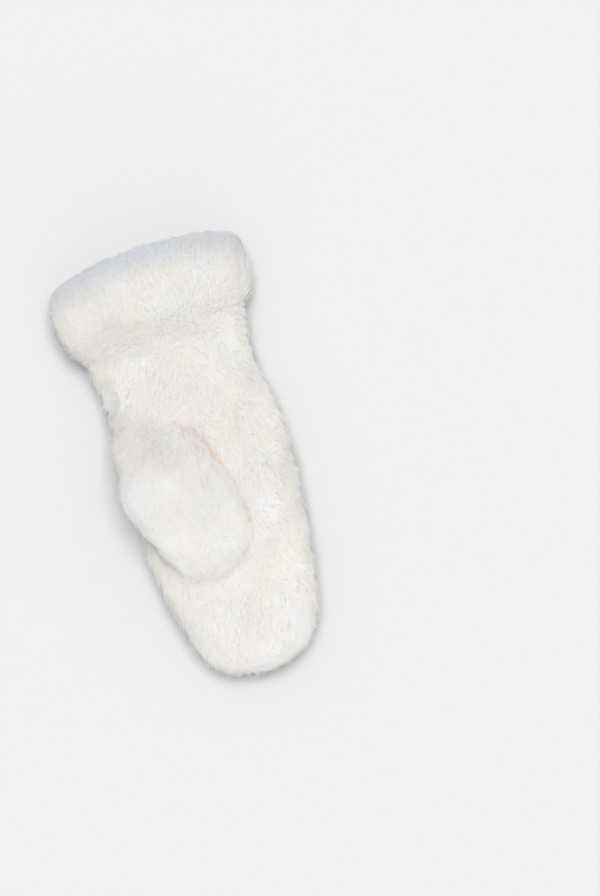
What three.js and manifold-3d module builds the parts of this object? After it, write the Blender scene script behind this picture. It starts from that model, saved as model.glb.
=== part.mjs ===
// A fur mitten for the right hand. It lies on its back, with its palm and its thumb up.
// Millimetres, +Z up. +X runs across the palm away from the thumb, and +Y from the fingertips to the cuff.
// The mitten is drawn with y = 0 at the fingertips, and the finished group is moved to its own origin,
// the middle of its underside.
import * as THREE from 'three';
import { mergeVertices } from 'three/addons/utils/BufferGeometryUtils.js';
import Module from 'manifold-3d';

const wasm = await Module();
wasm.setup();

// Driving dimensions, with the fur included
const handLength = 222; // from the fingertips to the seam of the cuff
const handWidth = 108; // across the knuckles
const handHeight = 50; // the hand part's thickness as it lies
const seamHeight = 20; // of the side seam between palm and back, above the surface
const handTipRound = 60; // length over which the fingertips' outline rounds off
const handTipDepth = 34; // length over which their thickness rounds off
const wall = 11; // backing cloth with the fur on it
const flatSink = 5; // how much of the round underside the mitten's weight has pressed flat
const seamTilt = 0.09; // rise of the cuff's seam for each millimetre across

const thumbLength = 126; // from the thumb's tip to where its tube starts inside the palm
const thumbSetback = 66; // from the fingertips back to the thumb's tip
const thumbWidth = 67;
const thumbHeight = 33; // the thumb's thickness as it lies on the palm
const thumbLift = 51; // the thumb's middle line above the surface
const thumbTipRound = 32;
const thumbWall = 9.5;
const bedDepth = 10; // how far the thumb presses into the palm
const thumbRootDrop = 12; // how far its hollow reaches down through the palm where it starts

const cuffLength = 57.5; // from its seam to the top of its rim, in the middle
const cuffWidth = 129;
const cuffHeight = 54;
const cuffWall = 15; // two layers, because the band is folded in at the rim
const rimBow = 9; // how far the rim stands higher in the middle than at its sides
const rimTilt = 0.045; // rise of the rim for each millimetre across

const creaseDepth = 2.4; // of the gathered line round the wrist
const creaseReach = 5;
const puckerReach = 15;
const wristRoll = 19; // from that line to the seam of the cuff
const gathers = 12;
const gatherDepth = 0.9;

const lockLength = 14; // a lock of fur, along its nap
const lockWidth = 12.6;
const lockRise = 1.8;
const lockStagger = [0, 2, 1, 0, 1, 2]; // rows by which neighbouring columns of locks are shifted

const lockValley = 0.2; // height of the points between two locks, as a share of a lock's ridge
const lockEvenness = 0.75; // mean height of a lock, as a share of the highest
const lockBeat = { column: 5, row: 3 }; // how fast the height changes from one lock to the next
const lockStart = 1 / 3; // share of a rounded end over which the locks grow to their height

const clearance = 0.3; // between pieces that are sewn together
const thumbClearance = 0.48; // between the thumb and the locks that it lies on

// Sections of the hand from the fingertips (0) to the cuff's seam (1).
// centre and half are shares of handWidth, and top is a share of handHeight.
const handSections = [
  { along: 0, centre: 0.02, half: 0.475, top: 0.82 },
  { along: 0.1, centre: 0.034, half: 0.437, top: 0.86 },
  { along: 0.2, centre: 0.03, half: 0.43, top: 0.92 },
  { along: 0.33, centre: 0.024, half: 0.466, top: 0.98 },
  { along: 0.45, centre: 0.024, half: 0.492, top: 1 },
  { along: 0.62, centre: 0.028, half: 0.5, top: 1 },
  { along: 0.72, centre: 0.022, half: 0.488, top: 0.98 },
  { along: 0.8, centre: 0.008, half: 0.474, top: 0.95 },
  { along: 0.87, centre: 0, half: 0.462, top: 0.93 },
  { along: 0.94, centre: -0.012, half: 0.482, top: 0.99 },
  { along: 0.98, centre: -0.004, half: 0.488, top: 0.99 },
  { along: 1, centre: -0.004, half: 0.48, top: 0.97 },
];

// Sections of the thumb from its tip (0) to its hidden start inside the palm (1).
// centre and half are shares of thumbWidth, lift of thumbLift, and thick of half of thumbHeight.
const thumbSections = [
  { along: 0, centre: -0.2, half: 0.36, lift: 0.91, thick: 0.86 },
  { along: 0.095, centre: -0.172, half: 0.375, lift: 0.95, thick: 0.91 },
  { along: 0.16, centre: -0.162, half: 0.412, lift: 0.98, thick: 0.94 },
  { along: 0.25, centre: -0.19, half: 0.443, lift: 1, thick: 0.98 },
  { along: 0.33, centre: -0.23, half: 0.472, lift: 1, thick: 1 },
  { along: 0.45, centre: -0.31, half: 0.505, lift: 0.99, thick: 1 },
  { along: 0.59, centre: -0.34, half: 0.46, lift: 0.95, thick: 0.98 },
  { along: 0.7, centre: -0.375, half: 0.405, lift: 0.865, thick: 0.96 },
  { along: 0.8, centre: -0.4, half: 0.35, lift: 0.76, thick: 0.93 },
  { along: 0.9, centre: -0.39, half: 0.31, lift: 0.64, thick: 0.9 },
  { along: 1, centre: -0.38, half: 0.29, lift: 0.52, thick: 0.86 },
];

// Sections of the cuff from its seam (0) to where its rim starts to turn in (1).
// flare and rise run from the hand's last section (0) to the cuff's full width and height (1),
// and thick from wall to cuffWall.
const cuffSections = [
  { along: 0, flare: 0, rise: 0, thick: 0 },
  { along: 0.05, flare: 0.27, rise: 0.2, thick: 0.35 },
  { along: 0.12, flare: 0.48, rise: 0.36, thick: 0.6 },
  { along: 0.3, flare: 0.75, rise: 0.68, thick: 0.85 },
  { along: 0.55, flare: 0.93, rise: 0.92, thick: 1 },
  { along: 0.8, flare: 1, rise: 1, thick: 1 },
  { along: 1, flare: 0.96, rise: 0.96, thick: 1 },
];
const cuffShift = -0.026; // the cuff's middle, as a share of cuffWidth
const cuffMiddle = 0.42; // height of its widest line, as a share of cuffHeight
const sideSeam = { turn: 0.06, depth: 2.6, reach: 0.016 }; // round the cuff, in turns from the +X side

// Folds and swells of the palm. x is a share of handWidth, y of handLength, and depth and reach of wall.
const palmFolds = [
  { name: 'valley beside the thumb', x0: 0.05, y0: 0.87, x1: -0.05, y1: 0.76, depth: 0.34, reach: 0.5 },
  { name: 'fold of the thumb gusset', x0: -0.16, y0: 0.89, x1: -0.08, y1: 0.8, depth: 0.16, reach: 0.4 },
  { name: 'thumb mound', x0: -0.26, y0: 0.85, x1: -0.25, y1: 0.76, depth: -0.5, reach: 1.9 },
  { name: 'hollow along the outer edge', x0: 0.4, y0: 0.72, x1: 0.42, y1: 0.63, depth: 0.2, reach: 0.8 },
  { name: 'swell of the palm', x0: 0.3, y0: 0.62, x1: 0.26, y1: 0.4, depth: -0.18, reach: 1.6 },
  { name: 'dent at the fingers', x0: 0.02, y0: 0.2, x1: 0.12, y1: 0.14, depth: 0.26, reach: 0.9 },
  { name: 'fold past the thumb tip', x0: -0.2, y0: 0.27, x1: 0.08, y1: 0.26, depth: 0.2, reach: 0.5 },
];

const handSquareness = 2.4; // exponent of the hand's and the cuff's rounded sections
const thumbSquareness = 2.15;
const endSquareness = 2.2; // of the rounding of the fingertips and of the thumb's tip
const girthShare = 0.85; // of a rounded section, as a share of the girth of its box
const insideShare = 0.5; // how much of the wrist's crease the hollow follows
const hollowColumns = 24;
const thumbHollowColumns = 18;
const hollowRows = 14;
const endCrowding = { rows: 1.4, power: 1.7, share: 0.55 }; // of the rings near a tube's rounded end
const seamCrowding = 1.25; // of the cuff's rings near its seam
const fewestPairs = 6; // of columns round a section
const rimRows = 4;
const cuffHollowRows = 4;

// Where the thumb's bed fades out: across, as shares of half the thumb's width, and along the thumb.
const bedFade = { side: [0.6, 1], tip: [0, 0.16], root: [0.55, 0.75] };
// Where the thumb's hollow opens down into the hand's, along the thumb.
const passageFade = { start: [0.42, 0.7], end: [0.72, 0.92] };
// Where the fur's locks fade out, as the sine of the turn round a section.
const pressedFade = [-0.75, -0.3];
const buriedFade = [-0.6, 0];

const rowLength = lockLength / 3;
const evenPair = (count) => 2 * Math.max(fewestPairs, Math.round(count / 2));

// The value of one column of a table at a place along it, on a smooth curve through its rows.
function read(table, column, along) {
  const last = table.length - 2;
  let k = 0;
  while (k < last && along > table[k + 1].along) k += 1;
  const slope = (i) => {
    const before = table[Math.max(i - 1, 0)];
    const after = table[Math.min(i + 1, table.length - 1)];
    return (after[column] - before[column]) / (after.along - before.along);
  };
  const span = table[k + 1].along - table[k].along;
  const t = THREE.MathUtils.clamp((along - table[k].along) / span, 0, 1);
  const [t2, t3] = [t * t, t * t * t];
  return (
    (2 * t3 - 3 * t2 + 1) * table[k][column] +
    (t3 - 2 * t2 + t) * span * slope(k) +
    (3 * t2 - 2 * t3) * table[k + 1][column] +
    (t3 - t2) * span * slope(k + 1)
  );
}

// From 0 at a rounded end to 1 where the full section starts.
function endRound(distance, length) {
  const left = 1 - THREE.MathUtils.clamp(distance / length, 0, 1);
  return (1 - left ** endSquareness) ** (1 / endSquareness);
}

// A point of a rounded section, as shares of its half width and of its height over or under its middle.
function roundSection(turn, squareness) {
  const angle = turn * 2 * Math.PI;
  const bend = (value) => Math.sign(value) * Math.abs(value) ** (2 / squareness);
  return { across: bend(Math.cos(angle)), up: bend(Math.sin(angle)) };
}

const bell = (distance, reach) => Math.exp(-((distance / reach) ** 2));
const fade = (value, [start, end]) => THREE.MathUtils.smoothstep(value, start, end);

function distanceToFold(x, y, fold) {
  const from = new THREE.Vector2(fold.x0 * handWidth, fold.y0 * handLength);
  const along = new THREE.Vector2(fold.x1 * handWidth, fold.y1 * handLength).sub(from);
  const place = new THREE.Vector2(x, y).sub(from);
  const share = THREE.MathUtils.clamp(place.dot(along) / along.lengthSq(), 0, 1);
  return place.distanceTo(along.multiplyScalar(share));
}

// How far the thumb presses the palm down at a place.
function thumbBed(x, y) {
  const along = (y - thumbSetback) / thumbLength;
  const centre = read(thumbSections, 'centre', along) * thumbWidth;
  const half = read(thumbSections, 'half', along) * thumbWidth;
  const sideways = 1 - fade(Math.abs(x - centre) / half, bedFade.side);
  return bedDepth * sideways * fade(along, bedFade.tip) * (1 - fade(along, bedFade.root));
}

// How far the palm lies below its plain section at a place.
function palmRelief(x, y) {
  const folds = palmFolds.map((fold) => fold.depth * wall * bell(distanceToFold(x, y, fold), fold.reach * wall));
  return thumbBed(x, y) + folds.reduce((sum, depth) => sum + depth, 0);
}

// The gathered line round the wrist, and the puckers on both sides of it.
function wristCrease(turn, x, y) {
  const off = y - (handLength - wristRoll + seamTilt * x);
  const puckers = gatherDepth * Math.cos(turn * 2 * Math.PI * gathers) * bell(off, puckerReach);
  return creaseDepth * bell(off, creaseReach) + puckers;
}

// Locks of fur lie like shingles with their tips towards the fingertips: a ridge on every other column
// of points, which is highest at its tip and falls over three rows. Some locks stand higher than others.
function lockHeight(column, row) {
  const ridge = column % 2 ? lockValley : 1;
  const lock = Math.floor(column / 2);
  const shifted = row + lockStagger[lock % lockStagger.length];
  const step = 2 - (shifted % 3);
  const beat = Math.sin(lockBeat.column * lock + lockBeat.row * Math.floor(shifted / 3));
  const uneven = lockEvenness + (1 - lockEvenness) * beat;
  return lockRise * ridge * uneven * (step / 2);
}

// Keeps the fur under the mitten pressed smooth.
const lockFade = (turn) => fade(Math.sin(turn * 2 * Math.PI), pressedFade);

// A point of the hand, depth below its fur or, with a negative depth, above it.
function handPoint(turn, y, depth) {
  const along = y / handLength;
  const inside = Math.max(depth, 0);
  const round = endRound(y - inside, handTipRound - inside);
  const thin = endRound(y - inside, handTipDepth - inside);
  const { across, up } = roundSection(turn, handSquareness);
  const centre = read(handSections, 'centre', along) * handWidth;
  const half = (read(handSections, 'half', along) * handWidth - depth) * round;
  const x = centre + half * across;
  const crease = wristCrease(turn, x, y) * (depth > 0 ? insideShare : 1);
  const rise = read(handSections, 'top', along) * handHeight - seamHeight - depth - crease;
  const drop = seamHeight + flatSink - depth - flatSink * (depth > 0 ? 1 : 0);
  const height = up > 0 ? rise * up * thin - palmRelief(x, y) * up ** 2 * thin : drop * up * thin;
  return new THREE.Vector3(x - (crease / 2) * across, y, Math.max(seamHeight + height, 0));
}

// A point of the thumb, depth below its fur.
function thumbPoint(turn, y, depth) {
  const along = (y - thumbSetback) / thumbLength;
  const inside = Math.max(depth, 0);
  const round = endRound(y - thumbSetback - inside, thumbTipRound - inside);
  const { across, up } = roundSection(turn, thumbSquareness);
  const centre = read(thumbSections, 'centre', along) * thumbWidth;
  const half = (read(thumbSections, 'half', along) * thumbWidth - depth) * round;
  const lift = read(thumbSections, 'lift', along) * thumbLift;
  const thick = ((read(thumbSections, 'thick', along) * thumbHeight) / 2 - depth) * round;
  return new THREE.Vector3(centre + half * across, y, lift + thick * up);
}

// A point of the cuff. along runs from its seam to the turn of its rim, and depth from its fur inwards.
function cuffPoint(turn, along, depth) {
  const flare = read(cuffSections, 'flare', Math.min(along, 1));
  const { across, up } = roundSection(turn, handSquareness);
  const seam = handSections[handSections.length - 1];
  const half = THREE.MathUtils.lerp(seam.half * handWidth, cuffWidth / 2, flare) - depth;
  const rise = read(cuffSections, 'rise', Math.min(along, 1));
  const top = THREE.MathUtils.lerp(seam.top * handHeight, cuffHeight, rise);
  const middle = THREE.MathUtils.lerp(seamHeight, cuffMiddle * cuffHeight, rise);
  const groove = sideSeam.depth * bell(turn - sideSeam.turn, sideSeam.reach) * Math.sin(Math.PI * Math.min(along, 1));
  const x = cuffShift * cuffWidth * flare + (half - (depth > 0 ? 0 : groove)) * across;
  const drop = middle + (depth > 0 ? 0 : flatSink) - depth;
  const z = middle + (up > 0 ? top - middle - depth : drop) * up;
  const seamY = handLength + clearance + seamTilt * x;
  const rimY = handLength + cuffLength - cuffWall / 2 + rimTilt * x - rimBow * (x / (cuffWidth / 2)) ** 2;
  return new THREE.Vector3(x, THREE.MathUtils.lerp(seamY, rimY, along), Math.max(z, 0));
}

// A closed solid from rings of points. Its first ring shrinks to a pole, and its last is closed by a flat cap.
function cupSolid(rings) {
  const columns = rings[0].length;
  const pole = rings[0].reduce((sum, p) => sum.add(p), new THREE.Vector3()).divideScalar(columns);
  const cap = rings.at(-1).reduce((sum, p) => sum.add(p), new THREE.Vector3()).divideScalar(columns);
  const corners = [];
  for (let i = 0; i < columns; i += 1) {
    const next = (i + 1) % columns;
    corners.push(pole, rings[1][i], rings[1][next]);
    for (let j = 1; j < rings.length - 1; j += 1) {
      const [a, b, c, d] = [rings[j][i], rings[j][next], rings[j + 1][next], rings[j + 1][i]];
      corners.push(a, d, b, b, d, c);
    }
    corners.push(cap, rings.at(-1)[next], rings.at(-1)[i]);
  }
  return solidFrom(corners);
}

// A closed ring-shaped solid: its last ring joins its first.
function ringSolid(rings) {
  const columns = rings[0].length;
  const corners = [];
  rings.forEach((ring, j) => {
    const after = rings[(j + 1) % rings.length];
    for (let i = 0; i < columns; i += 1) {
      const next = (i + 1) % columns;
      const [a, b, c, d] = [ring[i], ring[next], after[next], after[i]];
      corners.push(a, d, b, b, d, c);
    }
  });
  return solidFrom(corners);
}

function solidFrom(corners) {
  return solidOf(new THREE.BufferGeometry().setFromPoints(corners));
}

// A three.js geometry as a solid that can be cut and joined.
function solidOf(geometry) {
  geometry.deleteAttribute('normal');
  geometry.deleteAttribute('uv');
  const merged = mergeVertices(geometry, 1e-4);
  const vertProperties = merged.attributes.position.array;
  const triVerts = new Uint32Array(merged.index.array);
  return new wasm.Manifold(new wasm.Mesh({ numProp: 3, vertProperties, triVerts }));
}

function geometryOf(solid) {
  const { vertProperties, triVerts } = solid.getMesh();
  return new THREE.BufferGeometry()
    .setAttribute('position', new THREE.BufferAttribute(new Float32Array(vertProperties), 3))
    .setIndex(new THREE.BufferAttribute(new Uint32Array(triVerts), 1));
}

// Rings of points of a hollow tube's outside or inside, closer together near its rounded end.
function rings(columns, rows, from, to, endLength, pointAt) {
  const endRows = Math.max(3, Math.round(endLength / rowLength / endCrowding.rows));
  const crowded = endLength * endCrowding.share;
  const found = [];
  for (let j = 0; j <= rows; j += 1) {
    const early = (j / endRows) ** endCrowding.power * crowded;
    const late = crowded + ((j - endRows) / (rows - endRows)) * (to - from - crowded);
    const y = from + (j < endRows ? early : late);
    found.push(Array.from({ length: columns }, (_, i) => pointAt(i / columns, y, i, j)));
  }
  return found;
}

// The end of the hand, which leans with the cuff's seam.
function leanEnd(point) {
  const past = fade(point.y, [handLength - wristRoll, handLength]);
  point.y += seamTilt * point.x * past;
  return point;
}

// The whole hand without its hollow, grown by a margin.
function handBody(margin) {
  const columns = evenPair((girthShare * 2 * (handWidth + handHeight)) / (lockWidth / 2));
  const rows = 3 * Math.round(handLength / lockLength);
  return cupSolid(
    rings(columns, rows, -margin, handLength, handTipRound, (turn, y, i, j) => {
      const locks = lockHeight(i, j) * lockFade(turn) * endRound(y + margin, handTipRound * lockStart);
      const worn = 1 - thumbBed(handPoint(turn, y, 0).x, y) / bedDepth;
      const held = 1 - fade(y, [handLength - rowLength, handLength]);
      return leanEnd(handPoint(turn, Math.max(y, 0), -margin - locks * worn * held));
    }),
  );
}

function handHollow() {
  const over = wall; // runs past the end of the hand, so that the hollow is open
  return cupSolid(
    rings(hollowColumns, hollowRows, wall, handLength + over, handTipRound - wall, (turn, y) => {
      const point = handPoint(turn, Math.min(y, handLength), wall);
      point.y = y;
      return leanEnd(point);
    }),
  );
}

function thumbBody() {
  const columns = evenPair((girthShare * 2 * (thumbWidth + thumbHeight)) / (lockWidth / 2));
  const rows = 3 * Math.round(thumbLength / lockLength);
  return cupSolid(
    rings(columns, rows, thumbSetback, thumbSetback + thumbLength, thumbTipRound, (turn, y, i, j) => {
      const shown = fade(Math.sin(turn * 2 * Math.PI), buriedFade);
      const locks = lockHeight(i, j) * shown * endRound(y - thumbSetback, thumbTipRound * lockStart);
      return thumbPoint(turn, y, -locks);
    }),
  );
}

function thumbHollow() {
  const [from, to] = [thumbSetback + wall, thumbSetback + thumbLength];
  return cupSolid(
    rings(thumbHollowColumns, hollowRows, from, to, thumbTipRound - wall, (turn, y) => {
      const point = thumbPoint(turn, y, thumbWall);
      const along = (y - thumbSetback) / thumbLength;
      const open = fade(along, passageFade.start) * (1 - fade(along, passageFade.end));
      point.z -= thumbRootDrop * open * Math.max(-Math.sin(turn * 2 * Math.PI), 0);
      return point;
    }),
  );
}

function cuffBody() {
  const columns = evenPair((girthShare * 2 * (cuffWidth + cuffHeight)) / (lockWidth / 2));
  const outerRows = 3 * Math.round(cuffLength / lockLength);
  const profile = [];
  for (let j = 0; j <= outerRows; j += 1) {
    profile.push({ along: (j / outerRows) ** seamCrowding, depth: 0, row: j });
  }
  for (let j = 1; j < rimRows; j += 1) {
    const bend = (j / rimRows) * Math.PI;
    const turnLength = cuffWall / 2 / (cuffLength - cuffWall / 2);
    profile.push({ along: 1 + Math.sin(bend) * turnLength, depth: (1 - Math.cos(bend)) / 2, row: -1 });
  }
  for (let j = 0; j <= cuffHollowRows; j += 1) {
    profile.push({ along: 1 - j / cuffHollowRows, depth: 1, row: -1 });
  }
  return ringSolid(
    profile.map(({ along, depth, row }) =>
      Array.from({ length: columns }, (_, i) => {
        const turn = i / columns;
        const thick = THREE.MathUtils.lerp(wall, cuffWall, read(cuffSections, 'thick', Math.min(along, 1)));
        const locks = row > 0 && row < outerRows ? lockHeight(i, row) * lockFade(turn) : 0;
        return cuffPoint(turn, along, depth * thick - locks);
      }),
    ),
  );
}

// Everything on one side of the side seam.
function sideOfSeam(above) {
  const size = 2 * (handLength + cuffLength);
  const box = new THREE.BoxGeometry(size, size, size);
  box.translate(0, 0, seamHeight + (above ? 1 : -1) * (size / 2 + clearance / 2));
  return solidOf(box);
}

// The largest solid of what a cut leaves, without the crumbs of fur beside it.
function largest(solid) {
  return solid.decompose().reduce((best, part) => (part.volume() > best.volume() ? part : best));
}

const furColour = 0xefebe4;
const furMaterial = () => new THREE.MeshStandardMaterial({ color: furColour, roughness: 0.95, metalness: 0 });

function piece(name, solid) {
  const mesh = new THREE.Mesh(geometryOf(largest(solid)), furMaterial());
  mesh.name = name;
  return mesh;
}

const hand = handBody(0);
const handShell = hand.subtract(handHollow()).subtract(thumbHollow());
const thumbShell = thumbBody().subtract(thumbHollow()).subtract(handBody(thumbClearance));

const body = new THREE.Group();
body.add(piece('palm_panel', handShell.intersect(sideOfSeam(true))));
body.add(piece('back_panel', handShell.intersect(sideOfSeam(false))));
body.add(piece('thumb', thumbShell));
body.add(piece('cuff', cuffBody()));

// The origin is the middle of the underside.
const bounds = new THREE.Box3().setFromObject(body);
const middle = bounds.getCenter(new THREE.Vector3());
body.position.set(-middle.x, -middle.y, -bounds.min.z);

const mitten = new THREE.Group();
mitten.name = 'fur_mitten';
mitten.add(body);

export default mitten;
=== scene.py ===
# A long-pile fur mitten: camera, light and floor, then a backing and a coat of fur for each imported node.
# Lengths are metres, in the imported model's frame. +X runs across the palm away from the thumb,
# +Y from the fingertips to the cuff, and +Z up.
import math

import bpy
import numpy as np
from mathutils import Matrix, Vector
from mathutils.bvhtree import BVHTree
from mathutils.kdtree import KDTree


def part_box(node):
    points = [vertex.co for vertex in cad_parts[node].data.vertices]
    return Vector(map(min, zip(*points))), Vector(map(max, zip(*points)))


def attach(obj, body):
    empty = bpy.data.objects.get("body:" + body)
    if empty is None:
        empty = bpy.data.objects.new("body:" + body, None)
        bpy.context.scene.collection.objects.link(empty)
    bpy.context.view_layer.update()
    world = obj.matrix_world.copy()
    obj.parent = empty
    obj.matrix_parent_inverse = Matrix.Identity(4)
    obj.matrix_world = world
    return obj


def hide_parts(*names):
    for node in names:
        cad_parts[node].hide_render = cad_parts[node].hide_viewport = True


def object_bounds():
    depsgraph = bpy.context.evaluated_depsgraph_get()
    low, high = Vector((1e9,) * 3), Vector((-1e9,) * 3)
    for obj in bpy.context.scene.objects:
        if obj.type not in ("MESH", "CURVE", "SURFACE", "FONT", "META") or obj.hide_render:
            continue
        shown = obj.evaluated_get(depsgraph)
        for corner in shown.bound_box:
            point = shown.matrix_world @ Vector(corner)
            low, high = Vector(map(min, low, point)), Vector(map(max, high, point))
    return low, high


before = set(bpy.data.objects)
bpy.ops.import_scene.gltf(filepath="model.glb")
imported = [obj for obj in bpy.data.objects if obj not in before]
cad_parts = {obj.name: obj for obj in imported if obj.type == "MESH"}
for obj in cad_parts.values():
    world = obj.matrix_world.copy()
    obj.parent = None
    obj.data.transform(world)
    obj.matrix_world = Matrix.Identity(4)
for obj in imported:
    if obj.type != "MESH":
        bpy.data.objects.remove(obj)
cad_box = [list(corner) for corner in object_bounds()]
MM = 0.001
UP = np.array([0, 0, 1])

# The view
FRAME_HEIGHT = 0.568  # what the picture's height takes in, at the height of the mitten's side seam
SEAM_HEIGHT = 0.022
CAMERA_DISTANCE = 2.0
FARTHEST_SEEN = 20
SENSOR = 36.0
MITTEN_LEAN = math.radians(15.67)  # the cuff leans to the picture's left
LOOK_AT = (0.0651, -0.0095)

# The light and the floor
GLOW_STOPS = (0, (1.5, 1.54, 1.6)), (1, (0.45, 0.48, 0.53))  # low down, from -Y to +Y
GLOW_ABOVE = (0.46, 0.46, 0.46, 1)
GLOW_TOP = 0.35  # height at which it has changed to the glow from above, as a sine
LAMP_ANGLE = math.radians(30)
LAMP_ENERGY = 2.95
LAMP_COLOUR = (1.0, 0.995, 0.985)
LAMP_WAY = (0.06, 0.17, 1)  # from the mitten to the lamp
FLOOR_REACH = 3.0
FLOOR_SHADER = {"Base Color": (0.627, 0.627, 0.631, 1), "Roughness": 1.0, "Specular IOR Level": 0.0}

# Colours. A stop is a place on a ramp and the colour there.
WHITE = (1, 1, 1)
HEIGHT_STOPS = (0.0, (0.97, 0.94, 0.9)), (0.6, (0.975, 0.974, 0.97))  # from a blade's root towards its tip
# Painted warm shade: white where a fold is open, darker and warmer where it is deep
FOLD_SHADE_STOPS = (0.25, WHITE), (0.95, (0.945, 0.835, 0.735))
PATCH_STOPS = (0.38, (1.0, 0.988, 0.966)), (0.6, WHITE)
BACKING_STOPS = (0.3, (0.92, 0.885, 0.84)), (0.7, (0.95, 0.92, 0.88))
FUR_SHADER = {"Roughness": 0.8, "Specular IOR Level": 0.2, "Sheen Weight": 0.15, "Sheen Roughness": 0.5}
BACKING_SHADER = {"Roughness": 0.95, "Specular IOR Level": 0.1}
PATCH_NOISE = {"Scale": 45, "Detail": 3}
BACKING_NOISE = {"Scale": 120}
BACKING_LOOPS = {"Scale": 700}
BACKING_BUMP = {"Strength": 0.5, "Distance": 0.0006}
THROUGH_SHARE = 0.5  # of a blade's shading that is light from its other side
MIX_A, MIX_B, MIX_RESULT = 6, 7, 2  # a Mix node's sockets for colours
RIM_PAINTED_SHADE = np.array([0.835, 0.857, 0.895])  # painted grey-blue shade on the fur at the rim
RIM_SHADE_BAND = (0.001, 0.026)  # distance behind the rim over which that fades out
FOLD_SHADE_SHARE = 0.75  # how much a fold counts for the painted shade in the fur's colour, where a crease counts 1
BRIGHTNESS = {"mean": 0.986, "spread": 0.003, "least": 0.96, "most": 1.0}
# the fur at the sides gets painted cool light, bluer and less warm
WARMTH = {"mean": 0.002, "spread": 0.003, "painted_cool_at_sides": -0.028, "in_green": 0.4}

# The smooth form that the fur's tips reach
VOXEL = 0.0021
CLOSE = 0.0045  # the pieces grow by this much, are fused and draw back in, which fills narrow crevices
GROW = 0.0007  # what is left of that growth
SMOOTHINGS = 16
SMOOTHING_SHARE = 0.5
NORMAL_EASINGS = 3
WELD_DECIMALS = 6  # to which the places of one point agree
WAVE_COUNT = 20  # waves that make up smooth noise
WAVE_STRETCH = (0.7, 1.4)
RAYS = 70  # by which a point looks around
RAY_START = 0.0006  # above the surface
LEAST_FACING = 0.1  # cosine between a ray and the surface's normal
FOLD_REACH = 0.05  # what is further off makes no fold
SIGHT = 0.6
OUT_OF_MOUTH = 0.25  # a ray that leads further to +Y than this may leave through the mouth
RIM_TURN = 0.014  # how far the fur runs over the rim into the mouth
LOWEST_BAND = 0.003  # height under which all is outside

# Creases, where two pieces meet, which dip the fur and carry painted warm shade in its colour. Places are
# distances from the ends of the thumb's box.
CREASE_REACH = 0.0025
CREASE_SIDE = (0.033, 0.02)  # inside the thumb's +X edge, where it begins and where it is full
CREASE_TIP = (0.012, 0.04)  # behind the thumb's tip
CREASE_AT_CUFF = 0.5  # depth at the cuff's seam, where it is 1 beside the thumb
CREASE_LEAST = 0.45  # share of its depth beside the thumb where it is faintest
CREASE_BREAKS = {"middle": 0.5, "swing": 0.4, "wavelength": 0.035, "seed": 41}
PAST_THUMB = 0.005  # behind the thumb's root, where the cuff's seam takes over
THUMB_SHADE = {"all": 0.15, "at_root": 0.2, "reach": 0.009}  # painted warm shade in the fur beside the thumb
THUMB_SHADE_SIDE = (0.05, 0.025)  # inside the thumb's +X edge, where it begins and where it is full
THUMB_SHADE_ROOT = (0.04, 0.02)  # before the thumb's root, where it begins to deepen and where it is deepest
TIP_SHADE = {"strength": 0.35, "reach": 0.004}  # painted warm shade round the thumb's tip

# The nap, the way that the fur lies
THUMB_ENDS = 0.02  # from the tip, where its fur fans out in full, and from the root, where it runs straight
THUMB_FAN = 0.9
DOWNWARD = -0.3
INWARD_SCALE = 0.02
INWARD_BAND = (0.05, 0.3)  # how far a face looks to the cuff's middle where its fur turns into the mouth
CUFF_FAN = 0.3
CUFF_HALF = 0.05
CUFF_RISE = 0.022  # distance from the seam over which the cuff's fur comes to lie flat
CUFF_WAVES = {"height": 0.004, "wavelength": 0.05, "seed": 6}
HAND_FAN = 5.0  # for each metre across
HAND_MIDDLE = 0.006
LEAN_AT_SEAM = 0.4
SEAM_BAND = (0.0, 0.014)  # distance from the cuff's seam over which the hand's fur comes to lie flat
LEAST_LEAN = 0.4
NAP_WAVES = ((0.2, 0.06, 21), (0.16, 0.02, 22), (0.08, 0.007, 23))  # angle, wavelength and seed
RIM_STATIONS = 16
THUMB_STATIONS = 14

# The blades. Depths, lays, rises, lifts, the crease's dip and half widths are millimetres here.
# A coat's tone below 1 is painted shade that darkens its fur a little, most on the cuff
COATS = {
    "palm_panel": {"name": "palm", "blades": 66000, "painted_dimming": 1.0, "depth": 3.5, "lay": 7.5, "seed": 11},
    "back_panel": {"name": "back", "blades": 58000, "painted_dimming": 1.0, "depth": 3.5, "lay": 7.5, "seed": 12},
    "thumb": {"name": "thumb", "blades": 60000, "painted_dimming": 0.993, "depth": 3.5, "lay": 7.0, "seed": 13},
    "cuff": {"name": "cuff", "blades": 66000, "painted_dimming": 0.988, "depth": 4.0, "lay": 7.0, "seed": 14},
}
UNDERSIDE = {"height": 0.004, "facing": -0.7, "share": 0.4}  # where fewer blades grow
UPRIGHT_LAY = 0.4  # of an upright blade, as a share of the lay of one that lies flat
SIDES = (0.3, 1.0)  # how far a normal turns from the vertical where the sides begin and are full
BLADES_A_TUFT = 9
TUFT_SPIN = 0.15
TUFT_RISE = 0.15
TUFT_SIDE_RISE = 2  # times more of it at the sides
AHEAD = 0.4  # share of a blade's length ahead of its place
BEHIND = 0.6
SPREAD = 0.2  # of the ways that blades lie, in radians
UPRIGHT_SPREAD = 1.3
LENGTHS = (0.8, 1.2)
LIFT = {"mean": 0.1, "spread": 0.22}
STRAYS = 0.06
STRAY_LIFT = 1.8
SIDE_LIFT = 0.9
SIDE_WAVES = {"height": 0.8, "wavelength": 0.006, "seed": 34}
FOLD_LIFTS = ((2.6, 0.22, 0.6), (3, 0.45, 0.8))  # lift, and the folds where it begins and is full
LIFT_WAVES = ((0.4, 0.03, 32), (0.12, 0.011, 33))  # lift, wavelength and seed
CREASE_DIP = 2.0
GATHERING = 0.5  # share of its distance from the tuft's middle that a blade keeps at the tuft's tip
PULL = 0.18  # of a tuft on its blades, at most, where they face up
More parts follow.
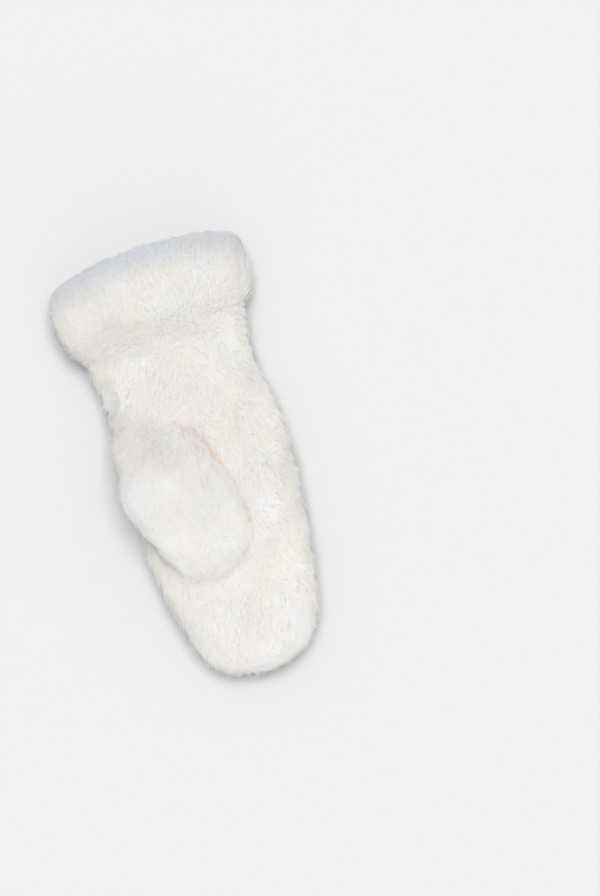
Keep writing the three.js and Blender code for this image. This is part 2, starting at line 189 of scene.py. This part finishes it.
SIDE_PULL = 0.3  # more of it at the sides
BEHIND_RIM = 0.003  # where the cuff's roots stay
MID_PLACE = (0.45, 0.55)  # shares of the root and of the tip in a blade's middle
MID_RISE = 0.16  # of the depth
MID_WIDTH = 0.9
TWIST = 0.14
WIDTHS = (0.12, 0.2)  # half widths
LOWEST = 0.0002
BLADE_HEIGHTS = (0.0, 0.0, 0.6, 0.6, 1.0)  # at a blade's five points: two, two and its tip
BLADE_FACES = ([0, 1, 3], [0, 3, 2], [2, 3, 4])
BLADE_UV = np.array([[0.1, 0.08], [0.9, 0.08], [0.1, 0.55], [0.9, 0.55], [0.5, 0.92]])
LIT_ABOVE = {"strength": 4, "offset": 0.8}  # how far a normal turns up to find a blade's outer face
SHOWN_ABOVE = {"strength": 1.4, "offset": 0.85}  # how far the shading normals turn up
SHOWN_FOLDS = (0.25, 0.6)  # folds over which they turn up further
SHOWN_BLADE = 0.12  # how much of a blade's own normal shows
RIM_SHADE_FACING = {"least": 0.5, "band": (0, 0.5)}  # the painted shade at the rim is full where the fur faces up

# The backing
PELT_VOXEL = 0.0019
PELT_SMOOTHINGS = 2
PELT_SINK = 0.9  # how far it lies under the fur's tips, as a share of the coat's depth


def unit(vectors):
    """Vectors of an array, each scaled to length 1."""
    return vectors / np.maximum(np.linalg.norm(vectors, axis=1, keepdims=True), 1e-9)


def turned(ways, sides, angles):
    """Each vector of an array, turned by an angle towards the one to its side."""
    return ways * np.cos(angles)[:, None] + sides * np.sin(angles)[:, None]


def waves(points, wavelength, seed):
    """Smooth noise of about -2 to 2 at each point, the same each run."""
    rng = np.random.default_rng(seed)
    ways = unit(rng.normal(size=(WAVE_COUNT, 3))) * rng.uniform(*WAVE_STRETCH, (WAVE_COUNT, 1))
    phases = rng.uniform(0, 2 * math.pi, WAVE_COUNT)
    return np.sin(points @ (ways.T * 2 * math.pi / wavelength) + phases).sum(1) / math.sqrt(WAVE_COUNT / 2)


def smoothstep(value, start, end):
    """From 0 up to start to 1 from end on, with smooth ends."""
    share = np.clip((value - start) / (end - start), 0, 1)
    return share * share * (3 - 2 * share)


def bell(distance, reach):
    """1 at no distance, and next to nothing at two reaches."""
    return np.exp(-((distance / reach) ** 2))


def new_object(name, data):
    made = bpy.data.objects.new(name, data)
    bpy.context.scene.collection.objects.link(made)
    return made


def settle(node, values):
    """Sets plain values on a node's own sockets."""
    for socket, value in values.items():
        node.inputs[socket].default_value = value


def ramp(tree, value, stops):
    """A colour that runs between two stops as a value rises."""
    node = tree.nodes.new("ShaderNodeValToRGB")
    for element, (place, colour) in zip(node.color_ramp.elements, stops):
        element.position = place
        element.color = (*colour, 1)
    tree.links.new(value, node.inputs["Fac"])
    return node.outputs["Color"]


def texture(tree, kind, values):
    """A texture node that lies on the object's own coordinates."""
    node = tree.nodes.new(kind)
    settle(node, values)
    place = tree.nodes.new("ShaderNodeTexCoord")
    tree.links.new(place.outputs["Object"], node.inputs["Vector"])
    return node


def new_material(name, values):
    """A material with plain values, its node tree and its shader."""
    material = bpy.data.materials.new(name)
    material.use_nodes = True
    shader = material.node_tree.nodes["Principled BSDF"]
    settle(shader, values)
    return material, material.node_tree, shader


def add_camera():
    data = bpy.data.cameras.new("camera")
    data.sensor_width = SENSOR
    data.lens = SENSOR * (CAMERA_DISTANCE - SEAM_HEIGHT) / FRAME_HEIGHT
    data.clip_end = FARTHEST_SEEN
    camera = new_object("camera", data)
    camera.location = (*LOOK_AT, CAMERA_DISTANCE)
    camera.rotation_euler = (0, 0, -MITTEN_LEAN)
    bpy.context.scene.camera = camera


def add_light():
    """A soft lamp almost overhead, and a glow from all round, brightest low down beyond the fingertips."""
    scene = bpy.context.scene
    world = bpy.data.worlds.new("studio")
    scene.world = world
    world.use_nodes = True
    tree = world.node_tree
    way = tree.nodes.new("ShaderNodeTexCoord")
    axes = tree.nodes.new("ShaderNodeSeparateXYZ")
    tree.links.new(way.outputs["Generated"], axes.inputs["Vector"])
    turn = tree.nodes.new("ShaderNodeMapRange")
    settle(turn, {"From Min": -1})
    tree.links.new(axes.outputs["Y"], turn.inputs["Value"])
    climb = tree.nodes.new("ShaderNodeMapRange")
    settle(climb, {"From Max": GLOW_TOP})
    tree.links.new(axes.outputs["Z"], climb.inputs["Value"])
    sky = tree.nodes.new("ShaderNodeMix")
    sky.data_type = "RGBA"
    tree.links.new(climb.outputs["Result"], sky.inputs["Factor"])
    tree.links.new(ramp(tree, turn.outputs["Result"], GLOW_STOPS), sky.inputs[MIX_A])
    sky.inputs[MIX_B].default_value = GLOW_ABOVE
    tree.links.new(sky.outputs[MIX_RESULT], tree.nodes["Background"].inputs["Color"])
    lamp = bpy.data.lights.new("softbox", "SUN")
    lamp.angle = LAMP_ANGLE
    lamp.energy = LAMP_ENERGY
    lamp.color = LAMP_COLOUR
    softbox = new_object("softbox", lamp)
    softbox.rotation_euler = Vector(LAMP_WAY).to_track_quat("Z", "Y").to_euler()
    scene.view_settings.view_transform = "Standard"


def add_floor():
    mesh = bpy.data.meshes.new("floor")
    sides = ((-1, -1), (1, -1), (1, 1), (-1, 1))
    mesh.from_pydata([(x * FLOOR_REACH, y * FLOOR_REACH, 0) for x, y in sides], [], [(0, 1, 2, 3)])
    floor = new_object("floor", mesh)
    material, _, _ = new_material("pale_floor", FLOOR_SHADER)
    mesh.materials.append(material)


def fur_material():
    """Warm ivory fur: deeper and warmer at its roots, with painted warm shade in the folds and creases, and
    a little uneven.
    """
    material, tree, shader = new_material("ivory_fur", FUR_SHADER)

    def attribute(name):
        node = tree.nodes.new("ShaderNodeAttribute")
        node.attribute_name = name
        return node

    def multiply(first, second):
        node = tree.nodes.new("ShaderNodeMix")
        node.data_type = "RGBA"
        node.blend_type = "MULTIPLY"
        settle(node, {"Factor": 1})
        tree.links.new(first, node.inputs[MIX_A])
        tree.links.new(second, node.inputs[MIX_B])
        return node.outputs[MIX_RESULT]

    patches = texture(tree, "ShaderNodeTexNoise", PATCH_NOISE)
    along = ramp(tree, attribute("fur_height").outputs["Fac"], HEIGHT_STOPS)
    # painted warm shade in folds, creases and beside the thumb
    folds = ramp(tree, attribute("fur_painted_shade").outputs["Fac"], FOLD_SHADE_STOPS)
    patch = ramp(tree, patches.outputs["Fac"], PATCH_STOPS)
    colour = multiply(multiply(along, folds), multiply(patch, attribute("fur_shade").outputs["Color"]))
    tree.links.new(colour, shader.inputs["Base Color"])
    through = tree.nodes.new("ShaderNodeBsdfTranslucent")
    tree.links.new(colour, through.inputs["Color"])
    both = tree.nodes.new("ShaderNodeMixShader")
    settle(both, {"Fac": THROUGH_SHARE})
    tree.links.new(shader.outputs["BSDF"], both.inputs[1])
    tree.links.new(through.outputs["BSDF"], both.inputs[2])
    tree.links.new(both.outputs["Shader"], tree.nodes["Material Output"].inputs["Surface"])
    return material


def backing_material():
    """The short knitted pile of the backing, which shows inside the mouth and between the fur's roots."""
    material, tree, shader = new_material("fur_backing", BACKING_SHADER)
    loops = texture(tree, "ShaderNodeTexVoronoi", BACKING_LOOPS)
    patches = texture(tree, "ShaderNodeTexNoise", BACKING_NOISE)
    tree.links.new(ramp(tree, patches.outputs["Fac"], BACKING_STOPS), shader.inputs["Base Color"])
    bump = tree.nodes.new("ShaderNodeBump")
    settle(bump, BACKING_BUMP)
    tree.links.new(loops.outputs["Distance"], bump.inputs["Height"])
    tree.links.new(bump.outputs["Normal"], shader.inputs["Normal"])
    return material


def points_of(mesh):
    found = np.empty(len(mesh.vertices) * 3)
    mesh.vertices.foreach_get("co", found)
    return found.reshape(-1, 3)


def normals_of(mesh):
    found = np.empty(len(mesh.vertices) * 3, np.float32)
    mesh.vertex_normals.foreach_get("vector", found)
    return unit(found.reshape(-1, 3).astype(float))


def triangles_of(mesh):
    mesh.calc_loop_triangles()
    found = np.empty(len(mesh.loop_triangles) * 3, np.int32)
    mesh.loop_triangles.foreach_get("vertices", found)
    return found.reshape(-1, 3)


def tree_of(points, triangles):
    return BVHTree.FromPolygons(points.tolist(), triangles.tolist())


def kd_tree_of(points, numbers):
    """A tree of those points of an array that have the given numbers."""
    tree = KDTree(len(numbers))
    for i in numbers:
        tree.insert(points[i], i)
    tree.balance()
    return tree


def welded(node):
    """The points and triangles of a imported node, with the points that its faces share joined."""
    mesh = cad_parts[node].data
    points, triangles = points_of(mesh), triangles_of(mesh)
    places = np.round(points, WELD_DECIMALS)
    _, first, same = np.unique(places, axis=0, return_index=True, return_inverse=True)
    return points[first], same.reshape(-1)[triangles]


def gathered(values, triangles, count):
    """The sum at each point of a mesh of the values of the triangles around it, as unit vectors."""
    found = np.zeros((count, 3))
    for corner in range(3):
        np.add.at(found, triangles[:, corner], values)
    return unit(found)


def corner_normals(points, triangles):
    """A smooth normal at each point, from the faces around it."""
    a, b, c = (points[triangles[:, corner]] for corner in range(3))
    return gathered(np.cross(b - a, c - a), triangles, len(points))


def eased(vectors, triangles, rounds):
    """Unit vectors at the points of a mesh, each turned towards its neighbours' a number of times."""
    for _ in range(rounds):
        vectors = gathered(vectors[triangles].sum(1), triangles, len(vectors))
    return vectors


def remeshed(points, triangles, voxel, smoothings):
    """A new mesh of even faces over a closed form, smoothed a number of times."""
    mesh = bpy.data.meshes.new("form")
    mesh.from_pydata(points.tolist(), [], triangles.tolist())
    form = new_object("form", mesh)
    even = form.modifiers.new("even", "REMESH")
    even.mode = "VOXEL"
    even.voxel_size = voxel
    smooth = form.modifiers.new("smooth", "SMOOTH")
    smooth.factor = SMOOTHING_SHARE
    smooth.iterations = smoothings
    done = bpy.data.meshes.new_from_object(form.evaluated_get(bpy.context.evaluated_depsgraph_get()))
    bpy.data.objects.remove(form)
    bpy.data.meshes.remove(mesh)
    return done


class Envelope:
    """The smooth form of the whole mitten that the tips of the fur reach."""

    def __init__(self):
        parts, faces, start = [], [], 0
        for node in COATS:
            points, triangles = welded(node)
            parts.append(points + CLOSE * corner_normals(points, triangles))
            faces.append(triangles + start)
            start += len(points)
        mesh = remeshed(np.concatenate(parts), np.concatenate(faces), VOXEL, SMOOTHINGS)
        self.triangles = triangles_of(mesh)
        self.normals = eased(normals_of(mesh), self.triangles, NORMAL_EASINGS)
        self.points = points_of(mesh) - (CLOSE - GROW) * self.normals
        self.tree = tree_of(self.points, self.triangles)
        bpy.data.meshes.remove(mesh)
        self.node = self.nearest_nodes()
        self.outside, self.fold = self.look_around()
        self.crease, self.glow = self.creases()
        self.outer_triangles = self.triangles[self.outside[self.triangles].all(1)]
        self.outer_tree = tree_of(self.points, self.outer_triangles)

    def nearest_nodes(self):
        """Which node's surface each point lies on."""
        trees = [tree_of(*welded(node)) for node in COATS]
        gaps = [[tree.find_nearest(Vector(p))[3] for p in self.points] for tree in trees]
        return np.argmin(np.array(gaps), axis=0)

    def look_around(self):
        """Where a point sees past the mitten, not out of its mouth, and how much of its view is blocked."""
        steps = np.arange(RAYS) + 0.5
        tilt, spin = np.arccos(1 - 2 * steps / RAYS), math.pi * (1 + 5**0.5) * steps
        ways = np.stack([np.cos(spin) * np.sin(tilt), np.sin(spin) * np.sin(tilt), np.cos(tilt)], 1)
        past = ways[:, 1] < OUT_OF_MOUTH
        vectors = [Vector(way) for way in ways]
        outside = np.zeros(len(self.points), bool)
        fold = np.zeros(len(self.points))
        facing = self.normals @ ways.T
        for i, (point, normal) in enumerate(zip(self.points, self.normals)):
            start = Vector(point + normal * RAY_START)
            seen = total = 0.0
            for k in np.flatnonzero(facing[i] > LEAST_FACING):
                total += facing[i, k]
                if self.tree.ray_cast(start, vectors[k], FOLD_REACH)[0] is None:
                    seen += facing[i, k]
                    outside[i] |= past[k] and self.tree.ray_cast(start, vectors[k], SIGHT)[0] is None
            fold[i] = 1 - seen / total
        rim = cad_box[1][1]
        outside |= (self.points[:, 1] > rim - RIM_TURN) | (self.points[:, 2] < LOWEST_BAND)
        return outside, fold

    def gaps_to_neighbours(self):
        """How far each point lies from the nearest point of a piece that its own is sewn to."""
        palm, back, thumb, cuff = range(len(COATS))
        gap = np.full(len(self.points), 1.0)
        for pair in ((palm, thumb), (palm, cuff), (back, cuff)):
            for one, other in (pair, pair[::-1]):
                tree = kd_tree_of(self.points, np.flatnonzero(self.node == other))
                for i in np.flatnonzero(self.node == one):
                    gap[i] = min(gap[i], tree.find(self.points[i])[2])
        return gap

    def creases(self):
        """How deep each point lies in a crease, which dips the fur and is painted shade in its colour, and
        how much painted warm shade lies beside the thumb.
        """
        gap = self.gaps_to_neighbours()
        across, along = self.points[:, 0], self.points[:, 1]
        edge, root = thumb_high.x, thumb_high.y
        beside = smoothstep(across, edge - CREASE_SIDE[0], edge - CREASE_SIDE[1])
        wide = smoothstep(across, edge - THUMB_SHADE_SIDE[0], edge - THUMB_SHADE_SIDE[1])
        up_from_tip = smoothstep(along, thumb_low.y + CREASE_TIP[0], thumb_low.y + CREASE_TIP[1])
        at_root = smoothstep(along, root - THUMB_SHADE_ROOT[0], root - THUMB_SHADE_ROOT[1])
        swell = waves(self.points, CREASE_BREAKS["wavelength"], CREASE_BREAKS["seed"])
        broken = np.clip(CREASE_BREAKS["middle"] + CREASE_BREAKS["swing"] * swell, 0, 1)
        by_cuff = along > root + PAST_THUMB
        by_thumb = beside * up_from_tip * (CREASE_LEAST + (1 - CREASE_LEAST) * broken)
        # the crease's depth, which also sets painted shade in the fur's colour
        crease = np.where(by_cuff, CREASE_AT_CUFF * broken, by_thumb) * bell(gap, CREASE_REACH)
        round_tip = TIP_SHADE["strength"] * (1 - up_from_tip) * bell(gap, TIP_SHADE["reach"])
        # painted warm shade beside the thumb and round its tip
        glow = (THUMB_SHADE["all"] + THUMB_SHADE["at_root"] * at_root) * bell(gap, THUMB_SHADE["reach"]) + round_tip
        return crease, np.where(by_cuff, 0, wide * glow)


def nap(points, normals, node):
    """The way the fur lies at each point, and how far it leans over, from 0 where it stands up to 1."""
    towards = np.tile([0.0, -1.0, 0.0], (len(points), 1))
    across, along = points[:, 0], points[:, 1]
    if node == "thumb":
        tip = 1 - smoothstep(along, thumb_low.y + THUMB_ENDS, thumb_high.y - THUMB_ENDS)
        towards[:, 0] = THUMB_FAN * thumb_share(points) * tip
        towards[:, 2] = DOWNWARD * tip
    elif node == "cuff":
        # The fur stands up at the seam, leans over towards the rim, and turns into the mouth.
        aside = (points[:, [0, 2]] - cuff_middle) * normals[:, [0, 2]]
        inward = smoothstep(-aside.sum(1) / INWARD_SCALE, *INWARD_BAND)
        swell = CUFF_WAVES["height"] * waves(points, CUFF_WAVES["wavelength"], CUFF_WAVES["seed"])
        towards[:, 0] = CUFF_FAN * (across - cuff_middle[0]) / CUFF_HALF
        towards[:, 1] = (along - cuff_low.y + swell) / CUFF_RISE * (1 - 2 * inward)
        towards /= np.maximum(np.linalg.norm(towards, axis=1, keepdims=True), 1)
    else:
        towards[:, 0] = HAND_FAN * (across - HAND_MIDDLE)
        towards[:, 2] = DOWNWARD if node == "palm_panel" else 0.0
        from_seam = smoothstep(cuff_low.y - along[:, None], *SEAM_BAND)
        towards *= LEAN_AT_SEAM + (1 - LEAN_AT_SEAM) * from_seam
    flat = towards - normals * (towards * normals).sum(1, keepdims=True)
    lean = np.clip(np.linalg.norm(flat, axis=1), LEAST_LEAN, 1)
    flat = unit(flat)
    angle = sum(height * waves(points, wavelength, seed) for height, wavelength, seed in NAP_WAVES)
    return unit(turned(flat, np.cross(normals, flat), angle)), lean


def stations_of(values, count):
    """Places spread evenly over the values, and for each place which of the values lie near it."""
    places = np.linspace(values.min(), values.max(), count)
    reach = places[1] - places[0]
    return places, [abs(values - place) < reach for place in places]


def behind_rim(points):
    """How far each point lies behind the cuff's rim, which bows out in the middle."""
    own, _ = welded("cuff")
    stations, near = stations_of(own[:, 0], RIM_STATIONS)
    ends = [own[chosen, 1].max() for chosen in near]
    return np.interp(points[:, 0], stations, ends) - points[:, 1]


def thumb_share(points):
    """How far each point lies to the side of the thumb's middle line, from -1 to 1."""
    own, _ = welded("thumb")
    stations, near = stations_of(own[:, 1], THUMB_STATIONS)
    left = np.array([own[chosen, 0].min() for chosen in near])
    right = np.array([own[chosen, 0].max() for chosen in near])
    middle = np.interp(points[:, 1], stations, (left + right) / 2)
    half = np.interp(points[:, 1], stations, (right - left) / 2)
    return (points[:, 0] - middle) / half


def scatter(envelope, node_index, count, rng):
    """Random places on the outside of one node, fewer underneath, with what is known of each."""
    corners = envelope.outer_triangles
    corners = corners[envelope.node[corners[:, 0]] == node_index]
    a, b, c = (envelope.points[corners[:, k]] for k in range(3))
    area = np.linalg.norm(np.cross(b - a, c - a), axis=1)
    faces_down = envelope.normals[corners[:, 0], 2] < UNDERSIDE["facing"]
    area[(a[:, 2] < UNDERSIDE["height"]) & faces_down] *= UNDERSIDE["share"]
    chosen = corners[rng.choice(len(corners), count, p=area / area.sum())]
    u, v = rng.random(count), rng.random(count)
    over = u + v > 1
    u[over], v[over] = 1 - u[over], 1 - v[over]
    shares = np.stack([1 - u - v, u, v], 1)
    points = (envelope.points[chosen] * shares[:, :, None]).sum(1)
    normals = unit((envelope.normals[chosen] * shares[:, :, None]).sum(1))
    known = [(values[chosen] * shares).sum(1) for values in (envelope.fold, envelope.crease, envelope.glow)]
    return points, normals, *known


def shape_blades(points, normals, fold, crease, sideways, node, coat, rng):
    """The five points of each blade, which lies along the nap through its place, and the way it faces."""
    count = len(points)
    lie, lean = nap(points, normals, node)
    side = np.cross(normals, lie)
    depth, lay = coat["depth"] * MM, coat["lay"] * MM * (UPRIGHT_LAY + (1 - UPRIGHT_LAY) * lean)

    # Tufts: each blade leans a little towards the tip of its nearest tuft.
    tufts = count // BLADES_A_TUFT
    heart = kd_tree_of(points, range(tufts))
    own = np.array([heart.find(p)[1] for p in points])
    spin = rng.normal(0, TUFT_SPIN, tufts)
    rise = rng.normal(0, TUFT_RISE * MM, tufts)
    rise *= 1 + (1 - lean[:tufts]) + TUFT_SIDE_RISE * sideways[:tufts]
    tuft_way = turned(lie[:tufts], side[:tufts], spin) * (AHEAD * lay[:tufts])[:, None]
    tuft_tip = points[:tufts] + tuft_way + normals[:tufts] * rise[:, None]

    angle = rng.normal(0, 1, count) * (SPREAD + UPRIGHT_SPREAD * (1 - lean))
    ahead = turned(lie, side, angle)
    length = lay * rng.uniform(*LENGTHS, count)
    lift = rng.normal(LIFT["mean"], LIFT["spread"], count)
    lift += np.where(rng.random(count) < STRAYS, rng.uniform(0, STRAY_LIFT, count), 0)
    side_waves = SIDE_WAVES["height"] * waves(points, SIDE_WAVES["wavelength"], SIDE_WAVES["seed"])
    lift += sideways * (rng.uniform(-SIDE_LIFT, SIDE_LIFT, count) + side_waves)
    lift += sum(size * smoothstep(fold, start, full) for size, start, full in FOLD_LIFTS) * (1 - crease)
    for size, wavelength, seed in LIFT_WAVES:
        lift += size * waves(points, wavelength, seed)
    lift = MM * (lift - CREASE_DIP * crease)
    own_tip = points + ahead * (AHEAD * length)[:, None] + normals * lift[:, None]
    shared_tip = tuft_tip[own] + GATHERING * (points - points[own]) + normals * lift[:, None]
    pull = (rng.uniform(0.0, PULL, count) + SIDE_PULL * sideways)[:, None]
    tip = own_tip * (1 - pull) + shared_tip * pull
    root = points - normals * depth - ahead * (BEHIND * length)[:, None]
    if node == "cuff":
        root[:, 1] -= np.maximum(BEHIND_RIM - behind_rim(root), 0)
    mid = root * MID_PLACE[0] + tip * MID_PLACE[1] + normals * (MID_RISE * depth)

    run = unit(tip - root)
    twist = rng.normal(0, TWIST, count)
    broad = unit(np.cross(run, normals))
    width = turned(broad, np.cross(run, broad), twist)
    face_up = unit(np.cross(width, run))
    lit = normals + LIT_ABOVE["strength"] * np.clip(normals[:, 2:] + LIT_ABOVE["offset"], 0, 1) * UP
    outward = np.where((face_up * lit).sum(1, keepdims=True) < 0, -1.0, 1.0)
    width *= outward * (rng.uniform(*WIDTHS, count) * MM)[:, None]
    narrow = width * MID_WIDTH
    blades = np.stack([root - width, root + width, mid - narrow, mid + narrow, tip], 1)
    blades[:, :, 2] = np.maximum(blades[:, :, 2], LOWEST)
    return blades, face_up * outward


def blade_mesh(name, blades):
    """A mesh of three faces a blade, each blade with its own place on a UV map to bake on."""
    count, corners, _ = blades.shape
    faces = np.concatenate([np.arange(count)[:, None] * corners + face for face in BLADE_FACES])
    mesh = bpy.data.meshes.new(name)
    mesh.vertices.add(count * corners)
    mesh.vertices.foreach_set("co", blades.ravel())
    mesh.loops.add(len(faces) * 3)
    mesh.loops.foreach_set("vertex_index", faces.ravel().astype(np.int32))
    mesh.polygons.add(len(faces))
    mesh.polygons.foreach_set("loop_start", np.arange(0, len(faces) * 3, 3, dtype=np.int32))
    mesh.update(calc_edges=True)
    mesh.polygons.foreach_set("use_smooth", np.ones(len(faces), bool))
    cells = math.ceil(math.sqrt(count))
    place = np.stack([np.arange(count) % cells, np.arange(count) // cells], 1)[:, None, :] + BLADE_UV
    flat = (place / cells).reshape(-1, 2)[faces.ravel()]
    mesh.uv_layers.new(name="OFBake").data.foreach_set("uv", flat.ravel())
    return mesh


def blade_colours(points, normals, sideways, painted_dimming, rng):
    """A tint for each blade, a little unlike its neighbours', with painted cool light at the sides, painted
    grey-blue shade at the rim and the piece's painted shade.
    """
    count = len(points)
    bright = rng.normal(BRIGHTNESS["mean"], BRIGHTNESS["spread"], count)
    # each piece's painted shade dims the blade's brightness
    bright = painted_dimming * np.clip(bright, BRIGHTNESS["least"], BRIGHTNESS["most"])
    # painted cool light on the fur at the sides
    warm = rng.normal(WARMTH["mean"], WARMTH["spread"], count) + WARMTH["painted_cool_at_sides"] * sideways
    colour = np.stack([bright, bright - warm * WARMTH["in_green"], bright - warm], 1)
    # painted grey-blue shade on the fur at the rim, fullest where it faces up
    faces_up = RIM_SHADE_FACING["least"] + (1 - RIM_SHADE_FACING["least"]) * smoothstep(normals[:, 2], *RIM_SHADE_FACING["band"])
    rim = ((1 - smoothstep(behind_rim(points), *RIM_SHADE_BAND)) * faces_up)[:, None]
    return np.hstack([colour * (1 - rim + rim * RIM_PAINTED_SHADE), np.ones((count, 1))])


def add_attribute(mesh, name, kind, key, values):
    mesh.attributes.new(name, kind, "POINT").data.foreach_set(key, values)


def grow_coat(envelope, node_index, node, coat, material):
    """The fur of one node, as blades that rise from the backing and lie over along the nap."""
    rng = np.random.default_rng(coat["seed"])
    count, corners = coat["blades"], len(BLADE_HEIGHTS)
    points, normals, fold, crease, glow = scatter(envelope, node_index, count, rng)
    sideways = smoothstep(1 - abs(normals[:, 2]), *SIDES)
    blades, face_up = shape_blades(points, normals, fold, crease, sideways, node, coat, rng)
    mesh = blade_mesh(coat["name"] + "_fur", blades)
    # painted warm shade in folds, creases and beside the thumb
    painted_shade = np.maximum(FOLD_SHADE_SHARE * fold, crease + glow)
    colour = blade_colours(points, normals, sideways, coat["painted_dimming"], rng)
    add_attribute(mesh, "fur_height", "FLOAT", "value", np.tile(BLADE_HEIGHTS, count))
    add_attribute(mesh, "fur_painted_shade", "FLOAT", "value", np.repeat(painted_shade, corners))
    add_attribute(mesh, "fur_shade", "FLOAT_COLOR", "color", np.repeat(colour, corners, axis=0).ravel())

    above = SHOWN_ABOVE["strength"] * np.clip(normals[:, 2:] + SHOWN_ABOVE["offset"], 0, 1)
    above = (above + smoothstep(fold, *SHOWN_FOLDS)[:, None]) * UP
    shown = unit(normals + face_up * SHOWN_BLADE + above)
    mesh.normals_split_custom_set_from_vertices(np.repeat(shown, corners, axis=0).tolist())
    mesh.materials.append(material)
    fur = new_object(coat["name"] + "_fur", mesh)
    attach(fur, "root")
    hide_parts(node)


def make_pelt(envelope, node, coat, material):
    """The backing of one node: its solid, drawn in below the fur."""
    mesh = remeshed(*welded(node), PELT_VOXEL, PELT_SMOOTHINGS)
    found = points_of(mesh)
    sunk = coat["depth"] * MM * PELT_SINK
    for i, point in enumerate(found):
        place, _, face, gap = envelope.outer_tree.find_nearest(Vector(point))
        if gap < sunk:
            normal = envelope.normals[envelope.outer_triangles[face]].mean(0)
            inside = float((np.array(place) - point) @ normal)
            found[i] = point - normal * max(sunk - inside, 0)
    drawn = triangles_of(mesh)
    bpy.data.meshes.remove(mesh)
    done = remeshed(found, drawn, PELT_VOXEL, PELT_SMOOTHINGS)
    done.polygons.foreach_set("use_smooth", np.ones(len(done.polygons), bool))
    done.materials.clear()
    done.materials.append(material)
    pelt = new_object(coat["name"] + "_backing", done)
    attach(pelt, "root")
    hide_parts(node)


cuff_low, cuff_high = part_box("cuff")
thumb_low, thumb_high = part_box("thumb")
cuff_middle = ((cuff_low.x + cuff_high.x) / 2, (cuff_low.z + cuff_high.z) / 2)
add_camera()
add_light()
add_floor()
envelope = Envelope()
fur, backing = fur_material(), backing_material()
for index, (node, coat) in enumerate(COATS.items()):
    make_pelt(envelope, node, coat, backing)
    grow_coat(envelope, index, node, coat, fur)
